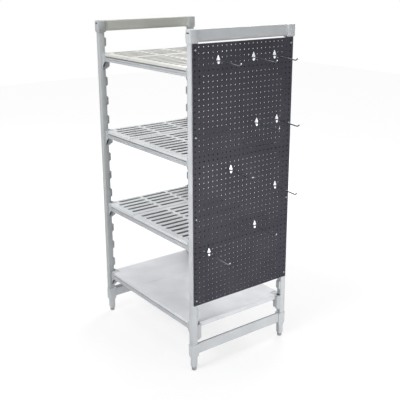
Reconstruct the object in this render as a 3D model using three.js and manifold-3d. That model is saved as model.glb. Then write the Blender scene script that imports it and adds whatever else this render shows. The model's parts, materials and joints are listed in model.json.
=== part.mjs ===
// A free-standing shelving unit with a pegboard tool wall on one end and peg hooks in the board.
// Millimetres, +Z up. X runs across the unit and Y along it, and the pegboard faces -Y.
// Every piece is drawn with Y = 0 on the centre line of the two posts that carry the board.

import * as THREE from 'three';
import { mergeVertices } from 'three/addons/utils/BufferGeometryUtils.js';
import Module from 'manifold-3d';

const wasm = await Module();
wasm.setup();

// Fits and drawing
const seatGap = 0.3; // left between two pieces that touch
const cutOverrun = 2; // a cut runs this far past the face it opens
const cornerSteps = 2; // straight steps in a rounded corner
const bendSteps = 3; // straight steps in a bend of the wire
const wireSides = 8; // sides of a wire's section
const turnedSides = 12; // sides of a turned piece

// The whole unit
const unitHeight = 1626;
const postSpacingX = 564; // between post centre lines, across the unit
const postSpacingY = 795; // between post centre lines, along the unit

// Posts: outer is the side away from the unit's middle, inner the side with the wedges
const postOuterReach = 18;
const postInnerReach = 14;
const postDepth = 27.5;
const postFillet = 2.5;
const wedgePitch = 101.6;
const wedgeHeight = 50;
const wedgeReach = 10;
const wedgeWidth = 22;
const wedgeSlopeHeight = 6; // height of the slanted end faces
const topWedgeDrop = 82.9; // from the unit's top to the top wedge

// Post caps and the bar between each pair
const capWidth = 45.6;
const capDepth = 38;
const capHeight = 59;
const capRoof = 10;
const capFillet = 4;
const capRimHeight = 6;
const capRimInset = 2.5;
const capCrownHeight = 2.5;
const lockSlotWidth = 20;
const lockSlotHeight = 6;
const lockSlotDepth = 3;
const lockSlotDrop = 14.5; // from the cap's top to the slot's middle
const topBarHeight = 53.5;
const topBarThickness = 25;
const topBarFillet = 5;
const topBarBevelHeight = 10;
const topBarBevelInset = 5;

// Sleeves round the post feet and the open-topped bar between each pair
const sleeveWidth = 44.6;
const sleeveDepth = 36;
const sleeveHeight = 70;
const sleeveFloor = 67; // underside above the floor
const sleeveFillet = 4;
const sleeveTaperHeight = 13;
const sleeveTaperInset = 5;
const sleeveRimHeight = 3;
const sleeveRimInset = 1.2;
const bottomBarHeight = 54;
const bottomBarThickness = 22;
const bottomBarWall = 3;
const bottomBarDrop = 9; // its wall towards the middle of the unit is lower
const bottomBarRise = 19; // from the sleeve's underside to the bar's

// Legs and levelling feet
const legWidth = 27.2;
const legDepth = 25.2;
const legFillet = 3;
const legInsert = 18; // length held in the sleeve
const legTaperHeight = 9;
const legTaperInset = 2;
const postFootWeb = 6; // sleeve material between leg and post
const footRadius = 12;
const footHeight = 16;
const footChamfer = 1.5;
const stemRadius = 5;
const stemLength = 36;

// Shelf levels
const wedgesPerBay = 4;
const shelfRise = 20; // shelf top above the wedge that carries it
const deckOverhang = 4.5; // shelf edge outside the post centre line
const deckThickness = 4;
const deckRimDepth = 12.5;
const deckEndGap = 2; // from the end posts' centre line to the deck's end
const deckLipDepth = 24;
const deckLipThickness = 3;
const deckStiffenerDepth = 18;
const deckStiffenerThickness = 5;
const deckJointGap = 0.8;
const slotWidth = 20;
const slotPitch = 45.6;
const slotSideBorder = 30.5;
const slotEndBorder = 30;
const slotRib = 14; // solid strip between two slots of a row
const middleSlotLength = 154;
const rowsToJoint = 11; // slot rows in the deck plate at the board's end

// Side rails with a bracket at each end
const railWidth = 28;
const railHeight = 27;
const railGrooveDrop = 14;
const railGrooveHeight = 2;
const railGrooveDepth = 1;
const bracketReachX = 36; // inner face from the post centre line
const bracketReachY = 42;
const bracketHeight = 80;
const bracketTopDrop = 1;
const bracketLip = 2.7; // lip round the far flank of the wedge
const gussetReach = 43;
const gussetPlate = 5; // under the rail the gusset is a plate at the outer side
const wrapTipHeight = 12; // slanted lower end of the wrap round the wedge
const wrapTipInset = 8;
// Gusset edge from the rail's underside to the bracket's foot: share of its reach, share of its drop
const gussetShares = [[1, 0], [0.56, 0.22], [0.24, 0.6], [0.1, 1]];

// Pegboard
const boardOverhang = 10.1; // board edge past the post centre line
const boardFloor = 347.5; // lower edge above the floor
const boardThickness = 6.35;
const holePitch = 25.4;
const holeSize = 7.1;
const holeSideMargin = 7.9; // from the board's edge at -X to the first column
const holeTopMargin = 13.6;
const solidHoleStep = 3; // this solid carries every third hole of the pattern, and those in use

// Screws that hold the board to the posts
const screwInset = 2.6; // from the post centre line towards the unit's middle
const screwHeadRadius = 5.2;
const screwHeadHeight = 3;
const screwShankRadius = 2.3;
const screwBite = 14;
// Each pair of screws lies half a pitch under the row at this share of the rows
const screwRowShares = [0, 0.32, 0.64, 0.98];

// Peg hooks
const pegRadius = 2.35;
const pegArcRadius = 13; // from the tilting axis to the upper peg
const pegDrop = 0.8; // upper peg under the middle of its hole at the board's face
const pegAngle = 80; // degrees that the upper peg reaches behind the board
const hookPlateThickness = 2;
const hookPlateTop = 11; // above the upper hole
const hookPlateBottom = 28; // below the upper hole
const hookTopWidth = 6;
const hookShoulderWidth = 22;
const hookShoulderTop = 7;
const hookShoulderBottom = 12;
const hookTongueWidth = 13;
const hookTongueTop = 15;
const hookTongueRise = 3.5; // boss on the tongue
const rodRadius = 2.5;
const rodDrop = 14; // rod below the upper hole where it leaves the plate
const rodStub = 12;
const rodReach = 145;
const rodBendDrop = 23;
const rodTipReach = 159;
const rodTipDrop = 12;
const rodBendLength = 7;
// Each hook's upper hole: place across as a share of the post spacing, row as a share of the rows
const hookPlaceShares = [[-0.28, 0.04], [0.08, 0.04], [0.31, 0.04], [0.13, 0.3], [0.35, 0.3],
  [-0.14, 0.47], [0.35, 0.57], [0.13, 0.72], [-0.37, 0.79]];

// Finishes: grey moulded polymer, charcoal board and zinc-plated steel
const greyPolymer = { color: 0xc6c9cb, roughness: 0.6, metalness: 0 };
const darkGreyPolymer = { color: 0xa7a9a4, roughness: 0.6, metalness: 0 };
const charcoalBoard = { color: 0x3f4046, roughness: 0.7, metalness: 0 };
const zincSteel = { color: 0xd8dadd, roughness: 0.3, metalness: 1 };
const footPolymer = { color: 0x9c9ea0, roughness: 0.8, metalness: 0 };

// Heights and places that several pieces share
const capFloor = unitHeight - capHeight;
const wedgeTop = (index) => unitHeight - topWedgeDrop - index * wedgePitch;
const sleeveTop = sleeveFloor + sleeveHeight;
const bracketFoot = (shelf) => shelf - bracketTopDrop - bracketHeight;
const wedgeSpace = bracketFoot(wedgeTop(0) + shelfRise) - seatGap - sleeveTop;
const wedgeCount = Math.floor(wedgeSpace / wedgePitch) + 1;
const shelfCount = Math.floor((wedgeCount - 1) / wedgesPerBay) + 1;
const shelfTop = (level) => wedgeTop(wedgeCount - 1 - level * wedgesPerBay) + shelfRise;
const deckHalfWidth = postSpacingX / 2 + deckOverhang;
const railTopDrop = deckRimDepth + seatGap;
const boardFace = -(postDepth / 2 + seatGap + boardThickness);
const boardTop = capFloor - seatGap;
const boardHalfWidth = postSpacingX / 2 + boardOverhang;
const columnRoom = 2 * boardHalfWidth - holeSideMargin - holeSize;
const holeColumns = Math.floor(columnRoom / holePitch) + 1;
const rowRoom = boardTop - boardFloor - holeTopMargin - holeSize;
const holeRows = Math.floor(rowRoom / holePitch) + 1;
const columnX = (column) => holeSideMargin + column * holePitch - boardHalfWidth;
const rowZ = (row) => boardTop - holeTopMargin - row * holePitch;
const rowAt = (share) => Math.round(share * (holeRows - 1));
const screwX = postSpacingX / 2 - screwInset;
const screwHeights = screwRowShares.map((share) => rowZ(rowAt(share)) - holePitch / 2);
const hookPlaces = hookPlaceShares.map(([acrossShare, downShare]) => {
  const column = Math.round((acrossShare * postSpacingX - columnX(0)) / holePitch);
  return [column, rowAt(downShare)];
});

const unit = new THREE.Group();

/** Joins the doubled corners of a three.js geometry and hands it to the solid modeller. */
function solid(geometry) {
  geometry.deleteAttribute('normal');
  geometry.deleteAttribute('uv');
  const merged = mergeVertices(geometry);
  return new wasm.Manifold(new wasm.Mesh({
    numProp: 3,
    vertProperties: new Float32Array(merged.attributes.position.array),
    triVerts: new Uint32Array(merged.index.array),
  }));
}

/** Joins solids into one. */
function join(solids) {
  return solids.reduce((whole, piece) => whole.add(piece));
}

/** Cuts solids out of another. */
function cut(body, tools) {
  return tools.reduce((rest, tool) => rest.subtract(tool), body);
}

/** Puts a solid into the unit as a named mesh with its own material. */
function place(name, shape, finish, x = 0, y = 0, z = 0) {
  const { vertProperties, triVerts } = shape.getMesh();
  const geometry = new THREE.BufferGeometry();
  geometry.setAttribute('position', new THREE.BufferAttribute(vertProperties, 3));
  geometry.setIndex(new THREE.BufferAttribute(triVerts, 1));
  const mesh = new THREE.Mesh(geometry, new THREE.MeshStandardMaterial({ ...finish, flatShading: true }));
  mesh.name = name;
  mesh.position.set(x, y, z);
  unit.add(mesh);
}

/** An outline in two axes, taken in X, Y, Z order, pushed along the third axis between two places. */
function prism(axis, outline, from, to) {
  const [low, high] = from < to ? [from, to] : [to, from];
  const shape = new THREE.Shape(outline.map(([a, b]) => new THREE.Vector2(a, b)));
  const geometry = new THREE.ExtrudeGeometry(shape, { depth: high - low, bevelEnabled: false });
  const [alongX, alongY, alongZ] = [0, 1, 2].map((i) => new THREE.Vector3().setComponent(i, 1));
  const frames = {
    x: new THREE.Matrix4().makeBasis(alongY, alongZ, alongX).setPosition(low, 0, 0),
    y: new THREE.Matrix4().makeBasis(alongX, alongZ, alongY.clone().negate()).setPosition(0, high, 0),
    z: new THREE.Matrix4().setPosition(0, 0, low),
  };
  return solid(geometry.applyMatrix4(frames[axis]));
}

/** The four corners of a rectangle between two places on each axis, in either order. */
function rectangle(a0, a1, b0, b1) {
  return [[a0, b0], [a1, b0], [a1, b1], [a0, b1]];
}

/** A rectangle with rounded corners, counted anticlockwise. */
function roundedRectangle(a0, a1, b0, b1, radius) {
  const centres = [[a1 - radius, b1 - radius], [a0 + radius, b1 - radius],
    [a0 + radius, b0 + radius], [a1 - radius, b0 + radius]];
  return centres.flatMap(([a, b], corner) => Array.from({ length: cornerSteps + 1 }, (_, step) => {
    const angle = (corner + step / cornerSteps) * Math.PI / 2;
    return [a + radius * Math.cos(angle), b + radius * Math.sin(angle)];
  }));
}

/** A regular polygon that stands for a circle. */
function circle(a, b, radius, sides) {
  return Array.from({ length: sides }, (_, side) => {
    const angle = (side + 1 / 2) / sides * 2 * Math.PI;
    return [a + radius * Math.cos(angle), b + radius * Math.sin(angle)];
  });
}

/** A skin over rings of points, each anticlockwise seen from the last ring's side, closed at both ends. */
function loft(rings) {
  const sides = rings[0].length;
  const last = (rings.length - 1) * sides;
  const triangles = [];
  for (let start = 0; start < last; start += sides) {
    for (let side = 0; side < sides; side += 1) {
      const a = start + side;
      const b = start + (side + 1) % sides;
      triangles.push(a, b, b + sides, a, b + sides, a + sides);
    }
  }
  for (let side = 1; side < sides - 1; side += 1) {
    triangles.push(0, side + 1, side, last, last + side, last + side + 1);
  }
  const geometry = new THREE.BufferGeometry().setFromPoints(rings.flat());
  geometry.setIndex(triangles);
  return solid(geometry);
}

/** A block whose rounded-rectangle section changes with height: each level is z and the inset there. */
function taperedBlock(width, depth, fillet, levels) {
  return loft(levels.map(([z, inset]) => {
    const [x, y] = [width / 2 - inset, depth / 2 - inset];
    return roundedRectangle(-x, x, -y, y, fillet).map(([a, b]) => new THREE.Vector3(a, b, z));
  }));
}

/** A round wire along points in the YZ plane. */
function wire(points, radius) {
  const across = new THREE.Vector3(1, 0, 0);
  const path = points.map(([y, z]) => new THREE.Vector3(0, y, z));
  return loft(path.map((point, index) => {
    const before = path[Math.max(index - 1, 0)];
    const after = path[Math.min(index + 1, path.length - 1)];
    const side = after.clone().sub(before).normalize().cross(across);
    return circle(0, 0, radius, wireSides).map(([a, b]) => point.clone()
      .addScaledVector(across, a)
      .addScaledVector(side, b));
  }));
}

/** A turned piece about the Y or Z axis from its profile: radius and place along the axis. */
function turned(axis, profile, sides) {
  const points = profile.map(([radius, along]) => new THREE.Vector2(radius, along));
  const geometry = new THREE.LatheGeometry(points, sides);
  return solid(axis === 'z' ? geometry.rotateX(Math.PI / 2) : geometry);
}

/** The post's section grown by a clearance, with inward +1 on the -X side of the unit and -1 on the other. */
function postSection(inward, clearance = 0) {
  const [outer, inner] = [postOuterReach + clearance, postInnerReach + clearance];
  const depth = postDepth / 2 + clearance;
  return roundedRectangle(-outer, inner, -depth, depth, postFillet).map(([x, y]) => [inward * x, y]);
}

/** The wedge's side view grown by a clearance, with its lower end run down to a given height. */
function wedgeProfile(inward, top, clearance, bottom) {
  const root = inward * postInnerReach;
  const tip = inward * (postInnerReach + wedgeReach + clearance);
  const inner = root - inward * cutOverrun;
  return [[inner, top + clearance], [root, top + clearance], [tip, top + clearance - wedgeSlopeHeight],
    [tip, bottom + wedgeSlopeHeight], [root, bottom], [inner, bottom]];
}

// The four corners of the unit
const corners = [];
for (const [end, y] of [['front', 0], ['back', postSpacingY]]) {
  for (const [side, inward] of [['left', 1], ['right', -1]]) {
    corners.push({ name: `${end}_${side}`, inward, x: -inward * postSpacingX / 2, y, carriesBoard: y === 0 });
  }
}

// Posts
const postFoot = sleeveFloor + legInsert + postFootWeb;
for (const { name, inward, x, y, carriesBoard } of corners) {
  const column = prism('z', postSection(inward), postFoot + seatGap, unitHeight - capRoof - seatGap);
  const wedges = Array.from({ length: wedgeCount }, (_, index) => {
    const top = wedgeTop(index);
    return prism('y', wedgeProfile(inward, top, 0, top - wedgeHeight), -wedgeWidth / 2, wedgeWidth / 2);
  });
  const pilotX = -inward * screwX - x;
  const pilots = carriesBoard ? screwHeights.map((z) => prism('y',
    circle(pilotX, z, screwShankRadius + seatGap, wireSides),
    -postDepth / 2 - cutOverrun, screwBite - postDepth / 2)) : [];
  place(`post_${name}`, cut(join([column, ...wedges]), pilots), greyPolymer, x, y);
}

// Post caps
for (const { name, inward, x, y } of corners) {
  const block = taperedBlock(capWidth, capDepth, capFillet, [[capFloor, capRimInset],
    [capFloor + capRimHeight, 0], [unitHeight - capCrownHeight, 0], [unitHeight, capCrownHeight]]);
  const pocket = prism('z', postSection(inward, seatGap), capFloor - cutOverrun, unitHeight - capRoof);
  const outerFace = -inward * capWidth / 2;
  const slotMiddle = unitHeight - lockSlotDrop;
  const slotOutline = rectangle(-lockSlotWidth / 2, lockSlotWidth / 2,
    slotMiddle - lockSlotHeight / 2, slotMiddle + lockSlotHeight / 2);
  const slot = prism('x', slotOutline, outerFace - inward * cutOverrun, outerFace + inward * lockSlotDepth);
  place(`cap_${name}`, cut(block, [pocket, slot]), greyPolymer, x, y);
}

// Sleeves round the post feet
for (const { name, inward, x, y } of corners) {
  const block = taperedBlock(sleeveWidth, sleeveDepth, sleeveFillet, [[sleeveFloor, sleeveTaperInset],
    [sleeveFloor + sleeveTaperHeight, sleeveRimInset], [sleeveTop - sleeveRimHeight, sleeveRimInset],
    [sleeveTop - sleeveRimHeight, 0], [sleeveTop, 0]]);
  const postPocket = prism('z', postSection(inward, seatGap), postFoot, sleeveTop + cutOverrun);
  const legHalf = [legWidth / 2 + seatGap, legDepth / 2 + seatGap];
  const legPocket = prism('z', roundedRectangle(-legHalf[0], legHalf[0], -legHalf[1], legHalf[1], legFillet),
    sleeveFloor - cutOverrun, sleeveFloor + legInsert);
  place(`sleeve_${name}`, cut(block, [postPocket, legPocket]), greyPolymer, x, y);
}

// Legs
for (const { name, x, y } of corners) {
  const block = taperedBlock(legWidth, legDepth, legFillet, [[footHeight, legTaperInset],
    [footHeight + legTaperHeight, 0], [sleeveFloor + legInsert - seatGap, 0]]);
  const bore = prism('z', circle(0, 0, stemRadius + seatGap, turnedSides),
    footHeight - cutOverrun, footHeight + stemLength);
  place(`leg_${name}`, cut(block, [bore]), greyPolymer, x, y);
}

// Levelling feet, each with a stem that runs up inside its leg
const footTop = footHeight - seatGap;
const footProfile = [[0, 0], [footRadius - footChamfer, 0], [footRadius, footChamfer], [footRadius, footTop],
  [stemRadius, footTop], [stemRadius, footTop + stemLength], [0, footTop + stemLength]];
const foot = turned('z', footProfile, turnedSides);
for (const { name, x, y } of corners) {
  place(`foot_${name}`, foot, footPolymer, x, y);
}

// Bars across the top of each pair of posts
const topBarSection = (() => {
  const half = topBarThickness / 2;
  const bottom = unitHeight - topBarHeight;
  const upperCorners = 2 * (cornerSteps + 1);
  const crown = roundedRectangle(-half, half, bottom, unitHeight, topBarFillet).slice(0, upperCorners);
  const shoulder = bottom + topBarBevelHeight;
  const sole = half - topBarBevelInset;
  return [...crown, [-half, shoulder], [-sole, bottom], [sole, bottom], [half, shoulder]];
})();
for (const [end, y] of [['front', 0], ['back', postSpacingY]]) {
  const reach = postSpacingX / 2 - capWidth / 2 - seatGap;
  place(`top_bar_${end}`, prism('x', topBarSection, -reach, reach), darkGreyPolymer, 0, y);
}

// Open-topped bars between the sleeves
function bottomBarSection(towardMiddle) {
  const half = bottomBarThickness / 2;
  const inner = half - bottomBarWall;
  const bottom = sleeveFloor + bottomBarRise;
  const top = bottom + bottomBarHeight;
  const floor = bottom + bottomBarWall;
  const lowTop = top - bottomBarDrop;
  return [[-half, top], [-half, floor], [-inner, bottom], [inner, bottom], [half, floor], [half, lowTop],
    [inner, lowTop], [inner, floor], [-inner, floor], [-inner, top]].map(([y, z]) => [towardMiddle * y, z]);
}
for (const [end, y, towardMiddle] of [['front', 0, 1], ['back', postSpacingY, -1]]) {
  const reach = postSpacingX / 2 - sleeveWidth / 2 - seatGap;
  place(`bottom_bar_${end}`, prism('x', bottomBarSection(towardMiddle), -reach, reach), greyPolymer, 0, y);
}

/** A rail's end bracket about its post: it wraps the wedge, and a plate under the rail is its gusset. */
function bracket(inward, towardMiddle, centreY, top) {
  const x = (reach) => inward * reach;
  const y = (reach) => centreY + towardMiddle * reach;
  const postSide = postDepth / 2 + seatGap;
  const flank = wedgeWidth / 2 + seatGap;
  const outerEnd = -flank - bracketLip;
  const railSole = top - railTopDrop - railHeight;
  const head = top - bracketTopDrop;
  const foot = bracketFoot(top);
  const gusset = gussetShares.map(([reachShare, dropShare]) => [
    y(postSide + reachShare * (gussetReach - postSide)), railSole - dropShare * (railSole - foot)]);
  const profile = [[y(outerEnd), head], [y(bracketReachY), head], [y(bracketReachY), railSole],
    ...gusset, [y(outerEnd), foot]];
  const block = prism('x', profile, x(-deckOverhang), x(bracketReachX));
  const postRoom = prism('z', rectangle(x(-deckOverhang - cutOverrun), x(postInnerReach + seatGap),
    y(outerEnd - cutOverrun), y(postSide)), foot - cutOverrun, head + cutOverrun);
  const carrier = wedgeProfile(inward, top - shelfRise, seatGap, foot - cutOverrun - wedgeSlopeHeight);
  const wedgeRoom = prism('y', carrier, y(-flank), y(flank));
  const tip = [[x(bracketReachX - wrapTipInset), foot], [x(bracketReachX), foot + wrapTipHeight],
    [x(bracketReachX + cutOverrun), foot + wrapTipHeight], [x(bracketReachX + cutOverrun), foot - cutOverrun],
    [x(bracketReachX - wrapTipInset), foot - cutOverrun]];
  const tipRoom = prism('y', tip, y(outerEnd - cutOverrun), y(gussetReach));
  const besidePlate = rectangle(y(postSide + bracketLip), y(gussetReach + cutOverrun), foot - cutOverrun, railSole);
  const plateRoom = prism('x', besidePlate, x(gussetPlate - deckOverhang), x(bracketReachX + cutOverrun));
  return cut(block, [postRoom, wedgeRoom, tipRoom, plateRoom]);
}

/** The rail's section, with the groove along its outer face. */
function railSection(inward, top) {
  const outer = -inward * deckOverhang;
  const groove = outer + inward * railGrooveDepth;
  const inner = outer + inward * railWidth;
  const high = top - railTopDrop;
  const low = high - railHeight;
  const grooveTop = high - railGrooveDrop;
  return [[outer, high], [outer, grooveTop], [groove, grooveTop - railGrooveHeight / 2],
    [outer, grooveTop - railGrooveHeight], [outer, low], [inner, low], [inner, high]];
}

// Side rails of each shelf level, with their two brackets
for (let level = 0; level < shelfCount; level += 1) {
  for (const [side, inward] of [['left', 1], ['right', -1]]) {
    const top = shelfTop(level);
    const barStart = bracketReachY - cutOverrun;
    const bar = prism('y', railSection(inward, top), barStart, postSpacingY - barStart);
    const brackets = [bracket(inward, 1, 0, top), bracket(inward, -1, postSpacingY, top)];
    place(`rail_${level + 1}_${side}`, join([bar, ...brackets]), greyPolymer, -inward * postSpacingX / 2);
  }
}

// Where the slots of a vented deck lie
const deckLength = postSpacingY - 2 * deckEndGap;
const slotRows = Math.floor((deckLength - 2 * slotEndBorder) / slotPitch) + 1;
const slotRowY = (row) => postSpacingY / 2 + (row - (slotRows - 1) / 2) * slotPitch;
const jointY = slotRowY(rowsToJoint);
const deckNotchX = postSpacingX / 2 - bracketReachX - seatGap;

/** The slots of one row across the deck, shortened in the rows that lie between the brackets. */
function slotSpans(row) {
  const fromEnd = Math.min(slotRowY(row), postSpacingY - slotRowY(row)) - slotWidth / 2;
  const open = fromEnd > bracketReachY + slotRib / 2;
  const middle = middleSlotLength / 2;
  const outer = open ? deckHalfWidth - slotSideBorder : deckNotchX - slotRib;
  return [[-outer, -middle - slotRib], [-middle, middle], [middle + slotRib, outer]];
}

/** A deck plate from the end of the unit to the joint: end is -1 at the board and +1 at the far end. */
function deckPlate(end, top, vented) {
  const outerY = end < 0 ? deckEndGap : postSpacingY - deckEndGap;
  const notchY = end < 0 ? bracketReachY + seatGap : postSpacingY - bracketReachY - seatGap;
  const splitY = jointY + end * deckJointGap / 2;
  const wide = deckHalfWidth;
  const outline = [[-deckNotchX, outerY], [deckNotchX, outerY], [deckNotchX, notchY], [wide, notchY],
    [wide, splitY], [-wide, splitY], [-wide, notchY], [-deckNotchX, notchY]];
  const rows = Array.from({ length: slotRows }, (_, row) => row)
    .filter((row) => (end < 0 ? row < rowsToJoint : row > rowsToJoint));
  const slots = vented ? rows.flatMap((row) => slotSpans(row).map(([x0, x1]) => prism('z',
    rectangle(x0, x1, slotRowY(row) - slotWidth / 2, slotRowY(row) + slotWidth / 2),
    top - deckThickness - cutOverrun, top + cutOverrun))) : [];
  const panel = cut(prism('z', outline, top - deckThickness, top), slots);
  const under = top - deckThickness / 2;
  const rimInner = wide - railWidth;
  const rims = [-1, 1].map((side) => prism('z', rectangle(side * wide, side * rimInner, notchY, splitY),
    top - deckRimDepth, under));
  const lipX = Math.min(deckNotchX, rimInner - seatGap);
  const outerLip = [outerY, outerY - end * deckLipThickness];
  const jointLip = [splitY, splitY + end * deckLipThickness];
  const lips = [outerLip, jointLip].map((lip) => prism('z', rectangle(-lipX, lipX, ...lip),
    top - deckLipDepth, under));
  const stiffenerX = middleSlotLength / 2 + slotRib / 2;
  const half = deckStiffenerThickness / 2;
  const ends = [outerLip, jointLip].map(([face, back]) => (face + back) / 2);
  const stiffeners = [-stiffenerX, stiffenerX].map((x) => prism('z', rectangle(x - half, x + half, ...ends),
    top - deckStiffenerDepth, under));
  return join([panel, ...rims, ...lips, ...stiffeners]);
}

// Two deck plates on each level: slotted, but solid on the lowest one
for (let level = 0; level < shelfCount; level += 1) {
  for (const [name, end] of [['front', -1], ['back', 1]]) {
    place(`deck_${level + 1}_${name}`, deckPlate(end, shelfTop(level), level > 0), greyPolymer);
  }
}

/** The pegboard: the pattern's holes that this solid carries, the hooks' holes and the screws' holes. */
function pegboard() {
  const inUse = new Set(hookPlaces.flatMap(([column, row]) => [`${column},${row}`, `${column},${row + 1}`]));
  const [back, front] = [boardFace + boardThickness, boardFace];
  const bore = (outline) => prism('y', outline, front - cutOverrun, back + cutOverrun);
  const holes = [];
  for (let column = 0; column < holeColumns; column += 1) {
    for (let row = 0; row < holeRows; row += 1) {
      const patterned = column % solidHoleStep === 1 && row % solidHoleStep === 1;
      if (patterned || inUse.has(`${column},${row}`)) {
        const [x, z] = [columnX(column), rowZ(row)];
        holes.push(bore(rectangle(x - holeSize / 2, x + holeSize / 2, z - holeSize / 2, z + holeSize / 2)));
      }
    }
  }
  const screwHoles = screwHeights.flatMap((z) => [-screwX, screwX]
    .map((x) => bore(circle(x, z, screwShankRadius + seatGap, wireSides))));
  const outline = rectangle(-boardHalfWidth, boardHalfWidth, boardFloor, boardTop);
  return cut(prism('y', outline, front, back), [...holes, ...screwHoles]);
}
place('pegboard', pegboard(), charcoalBoard);

// Screws through the board into the two posts
const screwEnd = screwHeadHeight + boardThickness + screwBite;
const screwProfile = [[0, 0], [screwHeadRadius / 2, 0], [screwHeadRadius, screwHeadHeight / 2],
  [screwHeadRadius, screwHeadHeight], [screwShankRadius, screwHeadHeight], [screwShankRadius, screwEnd],
  [0, screwEnd]];
const screw = turned('y', screwProfile, wireSides);
screwHeights.forEach((z, row) => {
  for (const [side, x] of [['left', -screwX], ['right', screwX]]) {
    place(`screw_${row + 1}_${side}`, screw, zincSteel, x, boardFace - seatGap - screwHeadHeight, z);
  }
});

/** Rounds the corners of a bent line by a curve that starts one bend length before each. */
function roundedPath(points, bendLength) {
  const corner = (index) => {
    const [before, at, after] = [-1, 0, 1].map((step) => new THREE.Vector2(...points[index + step]));
    const start = at.clone().add(before.sub(at).setLength(bendLength));
    const finish = at.clone().add(after.sub(at).setLength(bendLength));
    return new THREE.QuadraticBezierCurve(start, at, finish).getPoints(bendSteps).map(({ x, y }) => [x, y]);
  };
  const inner = points.slice(1, -1).flatMap((_, index) => corner(index + 1));
  return [points[0], ...inner, points[points.length - 1]];
}

/** A peg hook drawn about its upper hole on the board's face: plate, tongue, rod and two curved pegs. */
function pegHook() {
  const front = -seatGap - hookPlateThickness;
  const half = [hookTopWidth / 2, hookShoulderWidth / 2, hookTongueWidth / 2];
  const rightEdge = [[half[0], hookPlateTop], [half[1], -hookShoulderTop], [half[1], -hookShoulderBottom],
    [half[2], -hookTongueTop], [half[2], half[2] / 2 - hookPlateBottom], [half[2] / 2, -hookPlateBottom]];
  const leftEdge = rightEdge.map(([x, z]) => [-x, z]).reverse();
  const plate = prism('y', [...rightEdge, ...leftEdge], front, -seatGap);
  const tongueOutline = [...rightEdge.slice(3), ...leftEdge.slice(0, 3)];
  const tongue = prism('y', tongueOutline, front - hookTongueRise, -seatGap);
  const rod = wire(roundedPath([[-seatGap - hookPlateThickness / 2, -rodDrop], [-rodStub, -rodDrop],
    [-rodReach, -rodBendDrop], [-rodTipReach, -rodTipDrop]], rodBendLength), rodRadius);
  const axisHeight = pegArcRadius - pegDrop;
  const arc = (radius, from, to, steps) => Array.from({ length: steps + 1 }, (_, step) => {
    const angle = THREE.MathUtils.degToRad(from + (to - from) * step / steps);
    return [radius * Math.sin(angle), axisHeight - radius * Math.cos(angle)];
  });
  const degreesTo = (depth, radius) => THREE.MathUtils.radToDeg(Math.asin(depth / radius));
  const plateMiddle = -seatGap - hookPlateThickness / 2;
  const upperPeg = wire(arc(pegArcRadius, degreesTo(plateMiddle, pegArcRadius), pegAngle, 2 * bendSteps),
    pegRadius);
  const stubRadius = axisHeight + holePitch;
  const lowerPeg = wire(arc(stubRadius, degreesTo(plateMiddle, stubRadius),
    degreesTo(boardThickness, stubRadius), 1), pegRadius);
  return join([plate, tongue, rod, upperPeg, lowerPeg]);
}

// The peg hooks, each in its pair of holes
const hook = pegHook();
hookPlaces.forEach(([column, row], index) => {
  place(`hook_${index + 1}`, hook, zincSteel, columnX(column), boardFace, rowZ(row));
});

// The unit's origin goes to the middle of its footprint, on the floor
const reach = new THREE.Box3().setFromObject(unit);
const middle = reach.getCenter(new THREE.Vector3());
unit.position.set(-middle.x, -middle.y, -reach.min.z);

export default unit;
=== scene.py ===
# %% [markdown]
# # A pegboard tool wall on the end of a shelving unit
# The real object is a free-standing unit with four shelf levels in grey moulded polymer. A charcoal pegboard
# is screwed to the two posts of one end, and nine bright zinc-plated peg hooks hang in its holes.
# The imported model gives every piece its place, so this lesson starts by loading it. Lengths are in metres.

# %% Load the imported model
import json
import math

import bmesh
import bpy
import numpy as np
from mathutils import Matrix, Vector
from mathutils.geometry import delaunay_2d_cdt

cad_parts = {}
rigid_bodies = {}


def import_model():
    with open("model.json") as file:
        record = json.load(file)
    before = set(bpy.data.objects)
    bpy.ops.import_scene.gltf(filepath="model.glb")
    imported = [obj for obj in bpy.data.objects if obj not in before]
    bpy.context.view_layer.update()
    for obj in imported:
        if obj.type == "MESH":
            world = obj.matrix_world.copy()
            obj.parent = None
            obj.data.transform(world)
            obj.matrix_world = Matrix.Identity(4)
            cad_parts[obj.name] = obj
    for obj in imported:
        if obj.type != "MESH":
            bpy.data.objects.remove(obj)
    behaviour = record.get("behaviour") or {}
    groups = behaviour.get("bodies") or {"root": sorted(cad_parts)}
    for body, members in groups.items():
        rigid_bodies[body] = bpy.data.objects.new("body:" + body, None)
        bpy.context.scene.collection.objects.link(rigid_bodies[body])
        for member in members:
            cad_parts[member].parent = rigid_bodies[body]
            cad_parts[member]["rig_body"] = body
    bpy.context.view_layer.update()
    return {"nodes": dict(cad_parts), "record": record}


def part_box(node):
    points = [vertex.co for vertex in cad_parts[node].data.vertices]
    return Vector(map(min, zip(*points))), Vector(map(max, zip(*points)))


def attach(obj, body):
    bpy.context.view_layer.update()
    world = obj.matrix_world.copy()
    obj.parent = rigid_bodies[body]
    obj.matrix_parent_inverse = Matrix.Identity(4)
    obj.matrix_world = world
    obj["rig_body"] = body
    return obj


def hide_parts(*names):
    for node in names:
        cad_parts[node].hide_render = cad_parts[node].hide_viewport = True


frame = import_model()
MM = 0.001

# %% [markdown]
# ## The camera
# The photograph was taken from the left of the board's end, about level with the unit's top, and is a crop
# of a wider picture. A fit on the hole grid and on the posts gave the place and the angles. A large lens
# shift would copy the crop exactly but would push the object out of other views, so the shift is small and
# the camera looks down a little more instead.

# %% Camera
IMAGE_PIXELS = 400
SENSOR_MM = 36.0
FOCAL_PIXELS = 696.83
CAMERA_PLACE = (-2.04734, -2.74355, 1.85072)
CAMERA_TURN, CAMERA_TIP, CAMERA_ROLL = (math.radians(a) for a in (-36.641, 90 - 16.467, -0.205))
LENS_SHIFT = -0.05  # as a share of the picture's width
VIEW_DISTANCE = 60.0

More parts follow.
